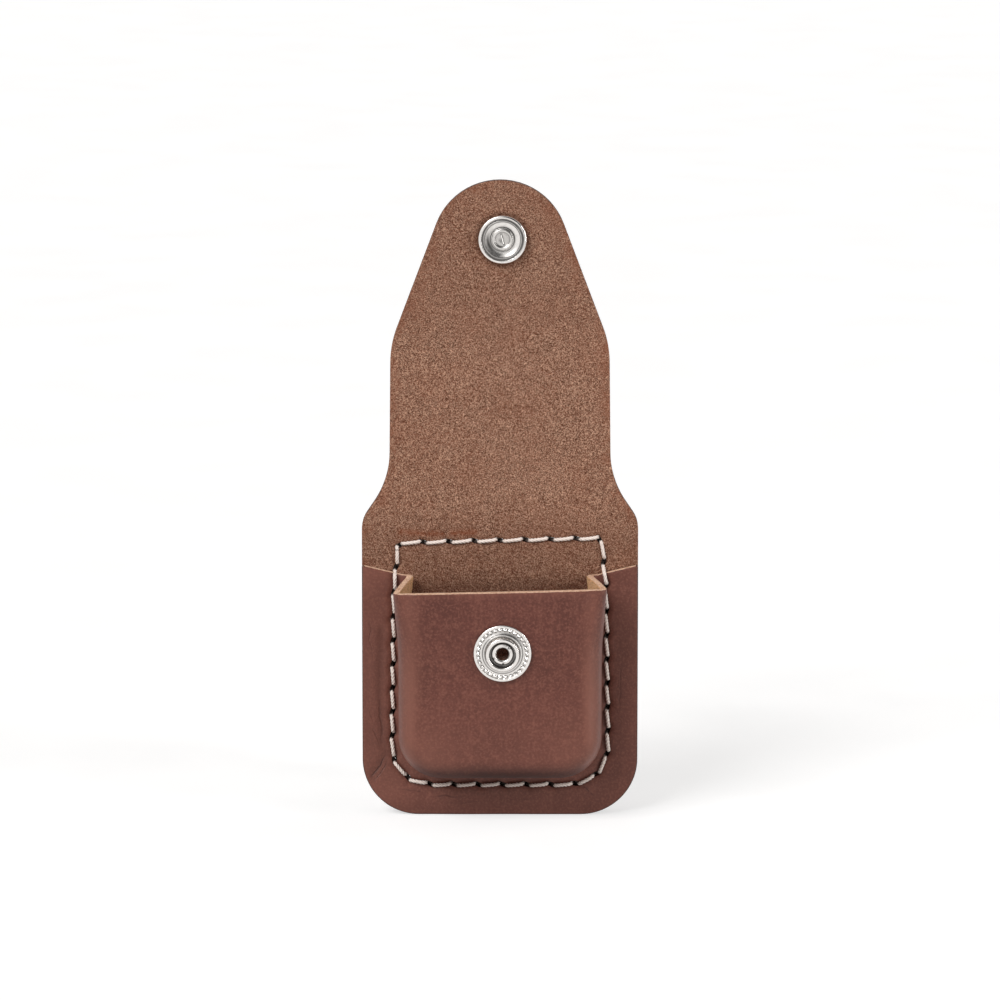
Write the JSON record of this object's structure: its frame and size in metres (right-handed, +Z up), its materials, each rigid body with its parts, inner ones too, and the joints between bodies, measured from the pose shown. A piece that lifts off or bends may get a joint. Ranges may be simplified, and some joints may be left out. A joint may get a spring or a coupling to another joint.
{
  "type": "lighter pouch",
  "caption": "Leather belt pouch for a pocket flip lighter: a moulded box pocket, a flap that folds over it and closes with a press stud, and a spring clip behind.",
  "frame": {"origin": "where the belt's top edge bears, under the bend of the belt clip, on the pouch's middle plane", "axes": "+Z up, the pouch's front with the press stud faces -Y, +X to the right seen from the front; the flap stands open, straight up"},
  "size_m": [0.0556, 0.0316, 0.1287],
  "materials": {
    "leather_flesh": "rough, fibrous flesh side of brown leather",
    "leather_grain": "smooth satin red-brown grain side",
    "thread": "thick off-white waxed thread",
    "nickel": "nickel-plated, slightly worn",
    "spring_steel": "nickel-plated spring steel"
  },
  "bodies": {
    "pouch": {"back_panel": "leather_flesh", "pocket_front": "leather_grain", "backing_patch": "leather_grain", "seam_thread_1": "thread", "seam_thread_2": "thread", "snap_stud": "nickel", "stud_eyelet": "nickel", "clip_base": "spring_steel", "clip_rivet_upper": "nickel", "clip_rivet_lower": "nickel", "rivet_burr_upper": "spring_steel", "rivet_burr_lower": "spring_steel"},
    "flap_bridge": {"flap_bridge": "leather_flesh"},
    "flap_tongue": {"flap_tongue": "leather_flesh", "snap_cap": "nickel", "snap_socket": "nickel", "socket_spring": "spring_steel"},
    "clip_tongue": {"clip_tongue": "spring_steel"}
  },
  "joints": [
    {"name": "flap_fold_back", "type": "hinge", "parent": "pouch", "child": "flap_bridge", "pos_m": [0, -0.0084, 0.01353], "axis": [1, 0, 0], "range_deg": [0, 90]},
    {"name": "flap_fold_front", "type": "hinge", "parent": "flap_bridge", "child": "flap_tongue", "pos_m": [0, -0.0084, 0.03351], "axis": [1, 0, 0], "range_deg": [0, 92.6]},
    {"name": "clip_flex", "type": "hinge", "parent": "pouch", "child": "clip_tongue", "pos_m": [0, 0, 0.0005], "axis": [1, 0, 0], "range_deg": [0, 8], "stiffness_Nm_per_rad": 2}
  ]
}
